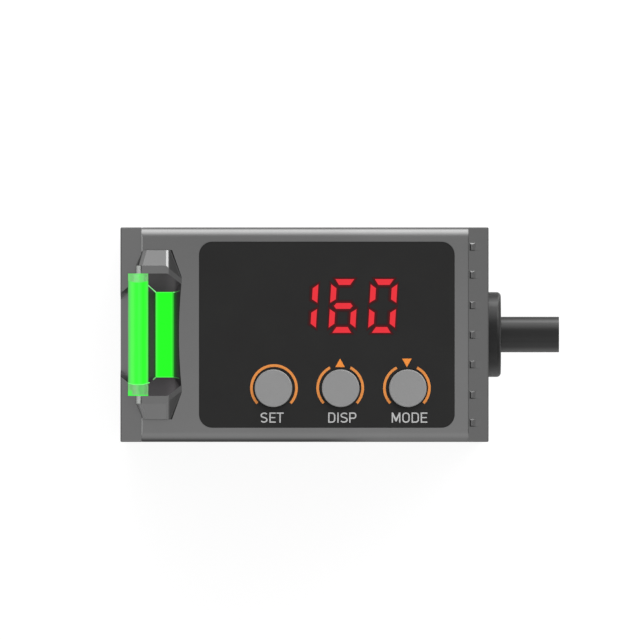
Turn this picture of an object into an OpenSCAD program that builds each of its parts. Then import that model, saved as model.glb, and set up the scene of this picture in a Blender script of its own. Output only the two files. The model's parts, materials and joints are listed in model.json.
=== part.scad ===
// Compact time-of-flight photoelectric sensor.
//
// A 25 mm wide box sensor. The optics look along -X through a dark window in
// the front cover, the cable leaves along +X, and the control face with the
// display, three keys and the status indicator is on top. Two screw holes run
// through the body along Y. Millimetres, origin at the middle of the base.

/* [Body] */
// Length of the body along the beam, both covers included
body_l = 42.9; // [42.9:0.1:46]
// Width of the body across the beam
body_w = 25; // [25:0.1:27]
// Height of the main housing, base to control face
body_h = 50; // [50:0.1:54]
// Wall thickness of the main housing
wall = 1.6; // [1.4:0.05:1.6]
// Radius of the long edges of the main housing
edge_r = 1.2; // [0.8:0.1:1.4]
// Thickness of the front cover
front_t = 2.45; // [2.4:0.05:2.6]
// Thickness of the rear cover
rear_t = 2.35; // [2.2:0.05:2.5]
// How far the covers stay below the control face
cover_drop = 0.15; // [0.1:0.05:0.3]

/* [Control face] */
// Length of the control overlay
panel_l = 29.8; // [29:0.1:30]
// Width of the control overlay
panel_w = 21.7; // [21:0.1:21.8]
// Corner radius of the control overlay
panel_r = 1.55; // [0.5:0.05:3]
// Thickness of the control overlay
panel_t = 0.3; // [0.2:0.05:0.4]
// Diameter of a key cap
key_d = 4.4; // [4:0.1:4.5]
// Distance from one key to the next
key_pitch = 7.83; // [7.6:0.01:7.9]
// How far a key stands above the control face
key_proud = 0.5; // [0.5:0.05:0.8]

/* [Indicator] */
// Height of the indicator ears above the control face
ear_h = 1.0; // [0.8:0.05:1.1]
// Depth of the indicator window below the control face
window_depth = 1.4; // [1.3:0.05:1.5]

/* [Mounting] */
// Diameter of the screw holes through the bushes
hole_d = 3.4; // [3.2:0.1:3.6]
// Distance between the two screw holes
hole_gap = 28; // [26:0.5:28]

/* [Cable] */
// Diameter of the cable
cable_d = 4.2; // [4:0.1:4.2]
// Length of cable outside the flange
cable_free = 6.85; // [4:0.05:20]
// Diameter of the cable flange
flange_d = 10; // [9:0.1:11]
// Thickness of the cable flange
flange_t = 1.65; // [1.2:0.05:2]
// Height of the cable axis above the base
cable_z = 22; // [20:0.5:24]

/* [Hidden] */
$fn = 64;

x_front = -body_l / 2;
x_rear = body_l / 2;
x_fs = x_front + front_t; // seam of the front cover
x_rs = x_rear - rear_t; // seam of the rear cover
cover_z = body_h - cover_drop;
in_w = body_w - 2 * wall;
in_h = body_h - 2 * wall;
top_in = body_h - wall; // inside of the top wall

panel_x = x_front + 24.05;
keys_x = x_front + 17.83;
keys_y = -6.24;
key_names_x = [keys_x, keys_x + key_pitch, keys_x + 2 * key_pitch];

// indicator, measured from the front face of the body
ind_l = x_front + 1.88; // left end of the ears
ind_a = x_front + 2.66; // outer left corner
ind_b = x_front + 6; // outer right corner
ind_c = x_front + 7.11; // right edge
ind_y1 = 9.85; // outer edge of the ears
ind_y2 = 6.73; // where the right edge starts
ind_yi = 7.13; // inner edge of the ears
bar_x0 = x_front + 0.89;
bar_x1 = x_front + 3.25;
bar_z0 = body_h - 4.5;
win_x0 = x_front + 4.09;
win_x1 = x_front + 6.22;
win_y = 4.98;
win_z = body_h - window_depth;
ind_z0 = body_h - 2.4; // underside of the ears and the liner
bulge_r = 64;

mount_x = 14.1;
hole_z0 = 8;
post_y = 9.2;
post_z = [3.6, body_h - 3.6];

rib_y = [-10.25, -7, -3.45, 0, 3.45, 7, 10.25];

board_z = body_h - 6.5; // underside of the display board
sw_z = board_z + 1; // top of the display board
sw_top = sw_z + 1.8; // top of a switch body
digit_pitch = 4.6;
digits_x = x_front + 23.65;
digits_y = 3.35;

// ---- helpers ----
module rrect(w, h, r) {
    square([w - 2 * r, h], center = true);
    square([w, h - 2 * r], center = true);
    for (x = [-1, 1], y = [-1, 1]) translate([x * (w / 2 - r), y * (h / 2 - r)]) circle(r = r);
}
// 2D (Y, Z) extruded along X
module along_x(x0, x1) translate([x0, 0, 0]) rotate([90, 0, 90]) linear_extrude(height = x1 - x0) children();
// 2D (X, Z) extruded along Y
module along_y(y0, y1) translate([0, y1, 0]) rotate([90, 0, 0]) linear_extrude(height = y1 - y0) children();
module along_z(z0, z1) translate([0, 0, z0]) linear_extrude(height = z1 - z0) children();
module rod_x(x0, x1, d, y, z) translate([x0, y, z]) rotate([0, 90, 0]) cylinder(h = x1 - x0, d = d);
module rod_y(y0, y1, d, x, z) translate([x, y0, z]) rotate([-90, 0, 0]) cylinder(h = y1 - y0, d = d);
module rod_z(z0, z1, d, x, y) translate([x, y, z0]) cylinder(h = z1 - z0, d = d);
module box(x0, x1, y0, y1, z0, z1) translate([x0, y0, z0]) cube([x1 - x0, y1 - y0, z1 - z0]);
// four-sided block, b and t are [x0, x1, y0, y1] at z0 and z1
module frustum(b, t, z0, z1)
    polyhedron(points = [[b[0], b[2], z0], [b[1], b[2], z0], [b[1], b[3], z0], [b[0], b[3], z0],
            [t[0], t[2], z1], [t[1], t[2], z1], [t[1], t[3], z1], [t[0], t[3], z1]],
        faces = [[0, 1, 2, 3], [4, 5, 1, 0], [7, 6, 5, 4], [5, 6, 2, 1], [6, 7, 3, 2], [7, 4, 0, 3]]);
// what lies on the n side of a plane through p
module beyond(p, n, s = 4)
    translate(p) rotate([0, acos(n[2] / norm(n)), atan2(n[1], n[0])]) translate([-s, -s, 0]) cube([2 * s, 2 * s, s]);
module section_ring(w, h, t) {
    difference() { square([w, h], center = true); square([w - 2 * t, h - 2 * t], center = true); }
}

// ---- body ----
module indicator_plan(g = 0) {
    difference() {
        polygon([[ind_a - g / 2, ind_y1 + g], [ind_b + g / 2, ind_y1 + g], [ind_c + g, ind_y2 + g / 2],
            [ind_c + g, -ind_y2 - g / 2], [ind_b + g / 2, -ind_y1 - g], [ind_a - g / 2, -ind_y1 - g],
            [ind_l - g, -8.12 - g / 2], [ind_l - g, 8.12 + g / 2]]);
        translate([ind_c - 0.3 + g + bulge_r, 0]) circle(r = bulge_r, $fn = 360);
    }
}

module main_housing() {
    c = 0.15; // chamfer at the front seam
    k = 0.05; // chamfer at the rear seam
    color("#6d6d6d") difference() {
        union() {
            difference() {
                intersection() {
                    along_x(x_fs, x_rs) translate([0, body_h / 2]) rrect(body_w, body_h, edge_r);
                    along_y(-body_w, body_w) polygon([[x_fs, c], [x_fs + c, 0], [x_rs - k, 0], [x_rs, k],
                        [x_rs, body_h - k], [x_rs - k, body_h], [x_fs + c, body_h], [x_fs, body_h - c]]);
                    along_z(-1, body_h + 1) polygon([[x_fs, c - body_w / 2], [x_fs + c, -body_w / 2],
                        [x_rs - k, -body_w / 2], [x_rs, k - body_w / 2], [x_rs, body_w / 2 - k],
                        [x_rs - k, body_w / 2], [x_fs + c, body_w / 2], [x_fs, body_w / 2 - c]]);
                }
                along_x(x_fs - 1, x_rs + 1) translate([0, body_h / 2]) rrect(in_w, in_h, 0.8);
            }
            // bosses round the two bushes
            for (z = [hole_z0, hole_z0 + hole_gap]) rod_y(-in_w / 2 - 0.5, in_w / 2 + 0.5, 7.4, mount_x, z);
            // posts for the rear screws
            for (y = [-1, 1], z = post_z) intersection() {
                rod_x(15.2, 17.2, 4, y * post_y, z);
                along_x(14, 18) translate([0, body_h / 2]) square([in_w + 0.6, in_h + 0.6], center = true);
            }
            // rails for the main board and ledges for the display board
            for (y = [-4.7, -2.9]) box(-5.5, 10.5, y, y + 0.6, wall - 0.4, wall + 1.4);
            for (y = [-1, 1]) box(-12.8, 10.4, y > 0 ? in_w / 2 - 1.2 : -in_w / 2 - 0.4,
                y > 0 ? in_w / 2 + 0.4 : 1.2 - in_w / 2, board_z - 0.9, board_z);
        }
        // recess for the overlay
        along_z(body_h - panel_t, body_h + 1) translate([panel_x, 0]) rrect(panel_l, panel_w, panel_r);
        // display opening
        box(digits_x - 10.3, digits_x + 10.3, digits_y - 4, digits_y + 4, top_in - 1, body_h + 1);
        for (x = key_names_x) rod_z(top_in - 1, body_h + 1, key_d + 0.15, x, keys_y);
        along_z(ind_z0 - 1, body_h + 2) indicator_plan(0.02);
        for (z = [hole_z0, hole_z0 + hole_gap]) rod_y(-body_w, body_w, 5, mount_x, z);
        for (y = [-1, 1], z = post_z) rod_x(14, 18, 1.6, y * post_y, z);
    }
}

function notch_y(x, z) = 4.87 + 0.84 * (x - x_front) + 0.27 * (z - body_h);
module front_notch() {
    x0 = x_front - 0.3;
    x1 = bar_x0 + 0.1;
    q = [[x0, body_h - 2.95], [x1, body_h - 2.6], [x1, body_h + 0.5], [x0, body_h + 0.5]];
    pts = [for (s = [-1, 1]) for (p = q) [p[0], s * notch_y(p[0], p[1]), p[1]]];
    polyhedron(points = pts, faces = [[3, 2, 1, 0], [4, 5, 6, 7], [0, 1, 5, 4], [1, 2, 6, 5], [2, 3, 7, 6], [3, 0, 4, 7]]);
}

module front_cover() {
    color("#6d6d6d") difference() {
        union() {
            intersection() {
                along_x(x_front, x_fs) translate([0, cover_z / 2]) rrect(body_w, cover_z, 0.2);
                along_z(-1, body_h + 1) translate([x_front + 10, 0]) rrect(20, body_w, 0.16);
                along_y(-body_w, body_w) translate([x_front + 10, cover_z / 2]) rrect(20, cover_z, 0.16);
            }
            // spigot inside the housing
            difference() {
                along_x(x_fs - 0.4, x_fs + 1.6) translate([0, wall + 0.1 + 21.15]) rrect(in_w - 0.2, 42.3, 0.75);
                box(x_fs - 1, x_fs + 2, -in_w / 2 + 1.3, in_w / 2 - 1.3, wall + 1.3, 42.8);
            }
        }
        // window seat and the opening behind it
        along_x(x_front - 1, x_front + 1.3) translate([0, 23]) rrect(20.8, 39, 1.2);
        along_x(x_front - 1, x_fs + 1) translate([0, 23]) rrect(18.8, 37, 0.8);
        front_notch();
        // slot for the light bar and the seat of the bezel
        box(bar_x0 - 0.03, x_fs + 1, -ind_yi - 0.03, ind_yi + 0.03, bar_z0 - 0.03, body_h + 2);
        along_z(ind_z0 - 0.05, body_h + 2) indicator_plan(0.02);
    }
}

module rear_cover() {
    color("#686868") difference() {
        union() {
            intersection() {
                along_x(x_rs, x_rear) translate([0, cover_z / 2]) rrect(body_w, cover_z, 0.2);
                along_z(-1, body_h + 1) translate([x_rear - 10, 0]) rrect(20, body_w, 0.16);
                along_y(-body_w, body_w) translate([x_rear - 10, cover_z / 2]) rrect(20, cover_z, 0.16);
            }
            // seven small grip ribs
            for (y = rib_y) {
                frustum([x_rs + 0.12, x_rs + 0.95, y - 0.47, y + 0.47], [x_rs + 0.3, x_rs + 0.46, y - 0.36, y + 0.28],
                    cover_z - 0.02, cover_z + 0.18);
                frustum([x_rs + 0.5, x_rs + 1.85, y - 0.46, y + 0.46], [x_rs + 0.6, x_rs + 0.8, y - 0.43, y + 0.43],
                    cover_z - 0.02, cover_z + 0.03);
            }
            // spigot inside the housing
            difference() {
                along_x(17.3, x_rs + 0.4) translate([0, body_h / 2]) rrect(in_w - 0.2, in_h - 0.2, 0.7);
                along_x(17, x_rs) translate([0, body_h / 2]) difference() {
                    square([in_w - 2.8, in_h - 2.8], center = true);
                    for (y = [-1, 1], z = [-1, 1]) translate([y * post_y, z * (body_h / 2 - 3.6)]) circle(r = 2);
                }
            }
        }
        // groove for the seal
        along_x(18, 18.7) translate([0, body_h / 2]) difference() {
            square([in_w + 1, in_h + 1], center = true);
            rrect(in_w - 1, in_h - 1, 0.5);
        }
        rod_x(17, x_rear + 1, 6.46, 0, cable_z);
        for (z = [hole_z0, hole_z0 + hole_gap]) rod_y(-body_w / 2 + 1, body_w / 2 - 1, 7.7, mount_x, z);
        for (y = [-1, 1], z = post_z) {
            rod_x(17, x_rear + 1, 2.2, y * post_y, z);
            translate([x_rear - 1.2, y * post_y, z]) rotate([0, 90, 0]) cylinder(h = 1.201, d1 = 2.2, d2 = 4);
        }
    }
}

module rear_screws() {
    color("#8f9296") for (y = [-1, 1], z = post_z) translate([0, y * post_y, z]) difference() {
        union() {
            rod_x(15.3, x_rear - 1.1, 1.6, 0, 0);
            rod_x(17.3, x_rear - 1.1, 2, 0, 0);
            translate([x_rear - 1.1, 0, 0]) rotate([0, 90, 0]) cylinder(h = 0.95, d1 = 2, d2 = 3.7);
        }
        box(x_rear - 0.75, x_rear + 1, -1.1, 1.1, -0.22, 0.22);
        box(x_rear - 0.75, x_rear + 1, -0.22, 0.22, -1.1, 1.1);
    }
}

module rear_seal() {
    color("#3a2a28") along_x(18.05, 18.65) translate([0, body_h / 2]) difference() {
        rrect(in_w, in_h, 0.8);
        rrect(in_w - 1, in_h - 1, 0.5);
    }
}

module front_seal() {
    color("#26282a") along_x(x_fs + 1.6, x_fs + 2.1) translate([0, 23]) section_ring(in_w - 0.4, 41.6, 1);
}

module bush(z) {
    color("#b9bcc0") difference() {
        rod_y(-body_w / 2, body_w / 2, 5, mount_x, z);
        rod_y(-body_w, body_w, hole_d, mount_x, z);
    }
}

// ---- indicator ----
module liner_plan() {
    e = [[bar_x1, ind_yi], [x_front + 5.4, ind_yi], [x_front + 5.53, 7.08], [x_front + 5.68, 6.99],
        [x_front + 5.84, 6.87], [ind_c + 0.05, 5.84]];
    difference() {
        polygon(concat(e, [for (i = [5:-1:0]) [e[i][0], -e[i][1]]]));
        translate([ind_c - 0.3 + bulge_r, 0]) circle(r = bulge_r, $fn = 360);
    }
}

// one ear, on the +Y side
module ear() {
    z1 = body_h + ear_h;
    s = x_front + 5.326; // where the bevel at the slope's right end starts
    difference() {
        along_z(ind_z0, z1) intersection() {
            indicator_plan();
            translate([x_front, 0]) square([10, 12]);
        }
        along_z(ind_z0 - 1, z1 + 1) liner_plan();
        box(x_front - 1, bar_x1 + 0.001, -1, ind_yi, ind_z0 - 1, z1 + 1);
        // outer slope, ramp to the right
        along_x(x_front - 1, x_front + 12) polygon([[ind_y1 + 1, body_h + 0.3 - 0.385], [8.05, z1], [8.05, z1 + 2], [ind_y1 + 1, z1 + 2]]);
        along_y(-1, 12) polygon([[x_front + 5.62, z1], [x_front + 8.66, body_h - ear_h], [x_front + 8.66, z1 + 2],
            [x_front + 5.62, z1 + 2]]);
        // seat of the light bar's end pin
        box(x_front - 1, x_front + 2.5, -1, 8.06, body_h + 0.28, z1 + 1);
        // facets at the right and at the left
        beyond([ind_b, ind_y1, body_h], [0.708, 0.252, 0.659]);
        beyond([ind_l, 8.12, body_h], [-0.85, 0.38, 0.36], 3);
        beyond([x_front + 2.57, 8.05, z1], [-0.496, 0.432, 0.753], 3);
        // narrow bevel in two steps between the slope and the right facet
        beyond([s, 8.05, z1], [0.309, 0.343, 0.887], 3);
        beyond([s + 0.268, 8.05, z1 - 0.093], [0.669, 0.268, 0.693], 3);
    }
}

module indicator_bezel() {
    color("#6f6f6f") union() {
        ear();
        mirror([0, 1, 0]) ear();
        difference() {
            union() {
                box(bar_x1, ind_c - 0.1, -9.6, 9.6, ind_z0 - 0.7, ind_z0);
                for (y = [-1, 1]) box(bar_x1, ind_b - 0.1, y > 0 ? 7.3 : -9.6, y > 0 ? 9.6 : -7.3, ind_z0 - 0.2, ind_z0 + 0.2);
            }
            box(win_x0 - 0.1, win_x1 + 0.1, -win_y - 0.1, win_y + 0.1, ind_z0 - 2, ind_z0 + 1);
        }
    }
}

module pocket() {
    d = body_h + 1.4 - win_z;
    frustum([win_x0, win_x1, -win_y, win_y],
        [win_x0 - 0.99 * d, win_x1 + 0.62 * d, -win_y - 0.896 * d, win_y + 0.896 * d], win_z, body_h + 1.4);
}

module indicator_liner() {
    color("#3f3f41") difference() {
        along_z(ind_z0, body_h + ear_h) liner_plan();
        pocket();
        box(win_x0, win_x1, -win_y, win_y, ind_z0 - 1, body_h + 2);
    }
}

module light_bar() {
    color("#4cff4a") union() {
        along_y(-ind_yi, ind_yi) translate([(bar_x0 + bar_x1) / 2, (bar_z0 + body_h + 0.9) / 2])
            rrect(bar_x1 - bar_x0, body_h + 0.9 - bar_z0, 0.6);
        rod_y(-8.03, 8.03, 0.6, x_front + 2.16, body_h + 0.6);
    }
}

module light_window() {
    color("#2aff2a") box(win_x0, win_x1, -win_y, win_y, win_z - 0.7, win_z);
}

module indicator_board() {
    color("#1f6b45") difference() {
        box(x_fs + 0.9, x_fs + 5.4, -8, 8, body_h - 5.4, body_h - 4.6);
        for (y = [-6.8, 6.8]) rod_z(body_h - 6, body_h - 4, 1.2, x_fs + 4.4, y);
    }
}

module indicator_lamps() {
    z = body_h - 4.6;
    color("#e9efe2") {
        for (y = [-4.6, 0, 4.6]) box(x_fs + 0.95, x_fs + 1.65, y - 0.9, y + 0.9, z, z + 1);
        for (y = [-3.4, 0, 3.4]) box(x_fs + 2.2, x_fs + 3.4, y - 0.7, y + 0.7, z, z + 0.8);
    }
}

// ---- optics ----
module front_window() {
    color("#17090b") along_x(x_front + 0.15, x_front + 1.1) translate([0, 23]) rrect(20.6, 38.8, 1.1);
}

module window_tape() {
    color("#1c1c1c") along_x(x_front + 1.1, x_front + 1.3) translate([0, 23]) difference() {
        rrect(20.6, 38.8, 1.1);
        rrect(18.8, 37, 0.8);
    }
}

rx_z = 14.6;
tx_z = 34.4;
ob_x0 = -16.85; // front face of the optics block

module optics_block() {
    color("#202225") difference() {
        box(ob_x0, -7, -10.6, 10.6, 3, 42.6);
        rod_x(ob_x0 - 1, ob_x0 + 3.4, 17.2, 0, rx_z);
        translate([ob_x0 + 3.3, 0, rx_z]) rotate([0, 90, 0]) cylinder(h = 6, d1 = 15.6, d2 = 6);
        rod_x(-8, -6, 7.2, 0, rx_z);
        rod_x(ob_x0 - 1, ob_x0 + 3, 11.2, 0, tx_z);
        rod_x(ob_x0, -6, 6.6, 0, tx_z);
        // lightening pockets in the back
        for (y = [-1, 1]) box(-13, -6, y > 0 ? 6 : -9.4, y > 0 ? 9.4 : -6, 26.4, 41);
        // waist between the two channels
        box(ob_x0 + 4, -9, -11, -8.4, 4.5, 24);
        box(ob_x0 + 4, -9, 8.4, 11, 4.5, 24);
    }
}

// plano-convex lens with its flat towards +X
module lens(d, r, edge, x) {
    sag = r - sqrt(r * r - d * d / 4);
    translate([x, 0, 0]) rotate([0, 90, 0]) rotate_extrude() intersection() {
        translate([0, r]) circle(r = r, $fn = 128);
        square([d / 2, edge + sag]);
    }
}
module receiver_lens() { color("#dfe6ea") translate([0, 0, rx_z]) lens(17, 13, 1, ob_x0 - 1.07); }
module transmitter_lens() { color("#dfe6ea") translate([0, 0, tx_z]) lens(11, 9.5, 1, ob_x0 + 0.2); }
module lens_ring() {
    color("#8a8d90") difference() {
        rod_x(ob_x0 + 3.1, ob_x0 + 3.4, 17.2, 0, rx_z);
        rod_x(ob_x0 + 3, ob_x0 + 4, 15.6, 0, rx_z);
    }
}
module laser_holder() {
    color("#c9a24b") difference() {
        rod_x(-12.2, -8.6, 6.6, 0, tx_z);
        rod_x(-13, -10, 4.2, 0, tx_z);
        rod_x(-10, -8, 5.6, 0, tx_z);
    }
}
module laser_diode() {
    color("#c8b27a") translate([0, 0, tx_z]) union() {
        rod_x(-10, -8.8, 5.6, 0, 0);
        rod_x(-12.4, -10, 4, 0, 0);
        for (a = [0, 120, 240]) rod_x(-8.9, -5.6, 0.45, 1.1 * cos(a), 1.1 * sin(a));
    }
}
module optics_board() {
    color("#1f6b45") difference() {
        box(-6.8, -6, -9.6, 9.6, 3.6, 41.6);
        for (a = [0, 120, 240]) rod_x(-7, -5, 0.45, 1.1 * cos(a), tx_z + 1.1 * sin(a));
        for (y = [-8, 8], z = [5.2, 40]) rod_x(-7, -5, 1.6, y, z);
    }
}
module receiver_chip() {
    color("#2b2d33") union() {
        box(-7.9, -6.8, -2.2, 2.2, rx_z - 1.4, rx_z + 1.4);
        box(-8.1, -7.8, -0.9, 0.9, rx_z - 0.7, rx_z + 0.7);
    }
}

// ---- boards ----
module main_board() {
    color("#1f6b45") difference() {
        box(-5.4, 10.2, -4, -3, wall + 0.3, 41.4);
        rod_y(-5, -2, 2, 7.9, 38.4);
        rod_y(-5, -2, 2, -3, 5.5);
    }
}
module board_parts() {
    color("#24262b") {
        box(-2.5, 4.5, -5.2, -4, 22, 29); // processor
        box(-4.4, -1.4, -5, -4, 10, 15); // timing chip
        box(2, 6, -5.8, -4, 6, 10); // inductor
        box(7, 9.8, -5.4, -4, 14, 18); // output driver
        box(0.5, 3.7, -3, -2, 32, 35.2); // regulator
        for (i = [0:5]) box(-4 + 2.2 * i, -3 + 2.2 * i, -4.5, -4, 18.4, 18.9); // capacitors
        for (i = [0:4]) box(7, 7.6, -4.45, -4, 21 + 2 * i, 22.2 + 2 * i);
    }
}
module board_link() {
    color("#d8d4c8") union() {
        box(-6, -5.4, -2.9, 2.4, 18, 26);
        box(-5.4, -2.6, -3, 1.2, 18.6, 25.4);
    }
}
module display_board() {
    color("#1f6b45") difference() {
        box(-12.6, 14.5, -9.8, 9.8, board_z, sw_z);
        for (x = [-11, 7.4], y = [-8.4, 8.4]) rod_z(board_z - 1, sw_z + 1, 1.6, x, y);
    }
}
module display_module() {
    color("#1d1d1f") difference() {
        box(digits_x - 10.2, digits_x + 10.2, digits_y - 3.9, digits_y + 3.9, sw_z, body_h - 0.75);
        display_bars(body_h - 0.95, 0.3);
    }
}
function digit_at(i) = digits_x + 2.32 + (i - 2) * digit_pitch;
// the bars of one digit: a b c d e f g, leaning 3.3 degrees
module bar_shape(p, x, z, h) along_z(z, z + h) translate([x, digits_y]) polygon(p);
seg_w = 1.235; // half width of a digit, on the bar centre lines
seg_h = 2.79; // half height of a digit, on the bar centre lines
seg_t = 0.34; // half thickness of a bar
lean = 0.058;
function sl(p) = [for (q = p) [q[0] + lean * q[1], q[1]]];
seg_a = sl([[-1.1, seg_h + seg_t], [1.1, seg_h + seg_t], [0.66, seg_h - seg_t], [-0.66, seg_h - seg_t]]);
seg_d = [for (q = seg_a) -q];
seg_g = sl([[-1.1, 0], [-0.81, seg_t], [0.81, seg_t], [1.1, 0], [0.81, -seg_t], [-0.81, -seg_t]]);
seg_b = sl([[seg_w + 0.32, 2.53], [seg_w + 0.32, 0.37], [seg_w - 0.32, 0.775], [seg_w - 0.32, 2.06]]);
seg_c = sl([[seg_w + 0.32, -0.37], [seg_w + 0.32, -2.53], [seg_w - 0.32, -2.06], [seg_w - 0.32, -0.775]]);
seg_f = sl([[-seg_w - 0.32, 0.37], [-seg_w - 0.32, 2.53], [-seg_w + 0.32, 2.06], [-seg_w + 0.32, 0.775]]);
seg_e = sl([[-seg_w - 0.32, -2.53], [-seg_w - 0.32, -0.37], [-seg_w + 0.32, -0.775], [-seg_w + 0.32, -2.06]]);
module display_bars(z, h)
    for (i = [0:3], s = [seg_a, seg_b, seg_c, seg_d, seg_e, seg_f, seg_g]) bar_shape(s, digit_at(i), z, h);
module display_segments() { color("#e8323a") display_bars(body_h - 0.95, 0.2); }
module display_filter() {
    color("#2a1012") box(digits_x - 10.25, digits_x + 10.25, digits_y - 3.95, digits_y + 3.95, body_h - 0.7, body_h - panel_t);
}
module control_overlay() {
    color("#2d2d2d") difference() {
        along_z(body_h - panel_t, body_h) translate([panel_x, 0]) rrect(panel_l - 0.04, panel_w - 0.04, panel_r);
        for (x = key_names_x) rod_z(body_h - 1, body_h + 1, key_d + 0.15, x, keys_y);
    }
}

// ---- keys ----
module key_cap(x) {
    r = key_d / 2;
    e = 0.12;
    color("#8e8e8e") translate([x, keys_y, 0]) union() {
        rotate_extrude() union() {
            translate([0, top_in - 0.1]) square([r, body_h + key_proud - e - top_in + 0.1]);
            translate([0, top_in]) square([r - e, body_h + key_proud - top_in]);
            translate([r - e, body_h + key_proud - e]) circle(r = e);
        }
        translate([0, 0, top_in - 0.85]) cylinder(h = 0.8, d = 5.2);
        translate([0, 0, sw_top + 0.65]) cylinder(h = top_in - 0.8 - sw_top - 0.65, d = 2.6);
    }
}
module plunger(x) {
    color("#d9c7a6") rod_z(sw_top - 0.6, sw_top + 0.65, 2.2, x, keys_y);
}
module switch_bodies() {
    color("#26282c") for (x = key_names_x) difference() {
        box(x - 2.25, x + 2.25, keys_y - 2.25, keys_y + 2.25, sw_z, sw_top);
        rod_z(sw_top - 1.25, sw_top + 1, 2.3, x, keys_y);
    }
}
module key_gasket() {
    color("#3b3b3d") difference() {
        box(keys_x - 4, keys_x + 2 * key_pitch + 3.05, keys_y - 3.4, keys_y + 3.4, top_in - 0.5, top_in);
        for (x = key_names_x) rod_z(top_in - 2, top_in + 1, 5.5, x, keys_y);
    }
}

// ---- cable ----
module wire_header() {
    color("#e4e2da") union() {
        box(1.6, 6, -3, 1.4, cable_z - 5.2, cable_z + 5.2);
    }
}
module cable_flange() {
    r = flange_d / 2;
    e = 0.5;
    color("#353535") translate([0, 0, cable_z]) rotate([0, 90, 0]) difference() {
        union() {
            rotate_extrude() union() {
                translate([0, x_rear]) square([r, flange_t - e]);
                translate([0, x_rear]) square([r - e, flange_t]);
                translate([r - e, x_rear + flange_t - e]) circle(r = e);
            }
            translate([0, 0, 17.3]) cylinder(h = x_rear - 17, d = 6.4);
            translate([0, 0, 16.2]) cylinder(h = 1.1, d = 8.4);
        }
        translate([0, 0, 10]) cylinder(h = 40, d = cable_d);
    }
}
x_end = x_rear + flange_t + cable_free;
x_strip = 11.4; // where the jacket ends inside
module cable_clamp() {
    color("#a9acb0") difference() {
        rod_x(12.4, 15.6, 5.4, 0, cable_z);
        rod_x(12, 17, cable_d, 0, cable_z);
    }
}
module cable_jacket() {
    color("#353535") difference() {
        rod_x(x_strip, x_end, cable_d, 0, cable_z);
        rod_x(x_strip - 1, x_end + 1, 3.02, 0, cable_z);
    }
}
core_r = 0.5;
core_pcd = 0.94;
function core_yz(i) = [core_pcd * cos(90 + 72 * i), core_pcd * sin(90 + 72 * i)];
row_z = [3.2, 1.4, -3.2, -1.5, 0.2]; // height of each core at the header
module core_rod(a, b, r) {
    d = b - a;
    translate(a) rotate([0, acos(d[0] == 0 && d[1] == 0 ? 1 : d[2] / norm(d)), atan2(d[1], d[0])]) cylinder(h = norm(d), r = r, $fn = 24);
}
module core(i, c) {
    p = core_yz(i);
    a = [x_strip - 0.3, p[0], cable_z + p[1]];
    b = [6.9, p[0], cable_z + row_z[i]];
    color(c) difference() {
        union() {
            rod_x(x_strip - 0.3, x_end - 0.02, 2 * core_r, p[0], cable_z + p[1]);
            translate(a) sphere(r = core_r + 0.04, $fn = 32);
            core_rod(a, b, core_r);
            translate(b) sphere(r = core_r + 0.04, $fn = 32);
            rod_x(6, 6.9, 2 * core_r, p[0], cable_z + row_z[i]);
        }
        rod_x(x_end - 3, x_end + 1, 0.56, p[0], cable_z + p[1]);
    }
}
module core_copper() {
    color("#b8734a") for (i = [0:4]) rod_x(x_end - 3, x_end, 0.56, core_yz(i)[0], cable_z + core_yz(i)[1]);
}

main_housing();
front_cover();
rear_cover();
indicator_bezel();
indicator_liner();
light_bar();
light_window();
indicator_board();
indicator_lamps();
front_window();
window_tape();
front_seal();
rear_seal();
rear_screws();
bush(hole_z0 + hole_gap);  // bush_upper
bush(hole_z0);  // bush_lower
control_overlay();
display_filter();
display_module();
display_segments();
display_board();
key_gasket();
key_cap(key_names_x[0]);  // key_set
key_cap(key_names_x[1]);  // key_disp
key_cap(key_names_x[2]);  // key_mode
plunger(key_names_x[0]);  // plunger_set
plunger(key_names_x[1]);  // plunger_disp
plunger(key_names_x[2]);  // plunger_mode
switch_bodies();
optics_block();
receiver_lens();
transmitter_lens();
lens_ring();
laser_diode();
laser_holder();
optics_board();
receiver_chip();
main_board();
board_parts();
board_link();
wire_header();
cable_flange();
cable_clamp();
cable_jacket();
core(0, "#6b3f22");  // core_brown
core(1, "#e6e6e2");  // core_white
core(2, "#2b54a3");  // core_blue
core(3, "#1f1f20");  // core_black
core(4, "#8b8d90");  // core_grey
core_copper();
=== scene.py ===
import json
import math

import bmesh
import bpy
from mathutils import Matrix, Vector

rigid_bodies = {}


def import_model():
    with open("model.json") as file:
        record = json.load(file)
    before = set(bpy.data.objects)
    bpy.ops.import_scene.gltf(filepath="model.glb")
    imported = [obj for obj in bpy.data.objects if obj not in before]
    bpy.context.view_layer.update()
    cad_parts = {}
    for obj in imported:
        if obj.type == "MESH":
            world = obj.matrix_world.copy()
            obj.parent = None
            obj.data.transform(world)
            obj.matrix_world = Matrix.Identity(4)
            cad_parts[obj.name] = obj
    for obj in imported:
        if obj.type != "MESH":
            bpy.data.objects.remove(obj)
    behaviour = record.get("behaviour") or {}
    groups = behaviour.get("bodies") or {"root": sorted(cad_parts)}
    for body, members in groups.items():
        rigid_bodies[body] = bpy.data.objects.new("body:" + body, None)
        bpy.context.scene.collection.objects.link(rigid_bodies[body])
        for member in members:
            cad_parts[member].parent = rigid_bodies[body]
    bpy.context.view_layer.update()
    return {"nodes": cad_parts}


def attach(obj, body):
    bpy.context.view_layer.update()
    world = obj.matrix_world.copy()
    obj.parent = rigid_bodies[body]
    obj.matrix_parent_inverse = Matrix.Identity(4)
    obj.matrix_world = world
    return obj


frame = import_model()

scene = bpy.context.scene

MM = 0.001
PX = 0.1165 * MM  # one pixel of the photograph, at the control face


def xy(px, py):
    """A place in the photograph's frame, as millimetres on the control face."""
    return (px - 304.5) * 0.1165, (334.7 - py) * 0.1165


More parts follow.
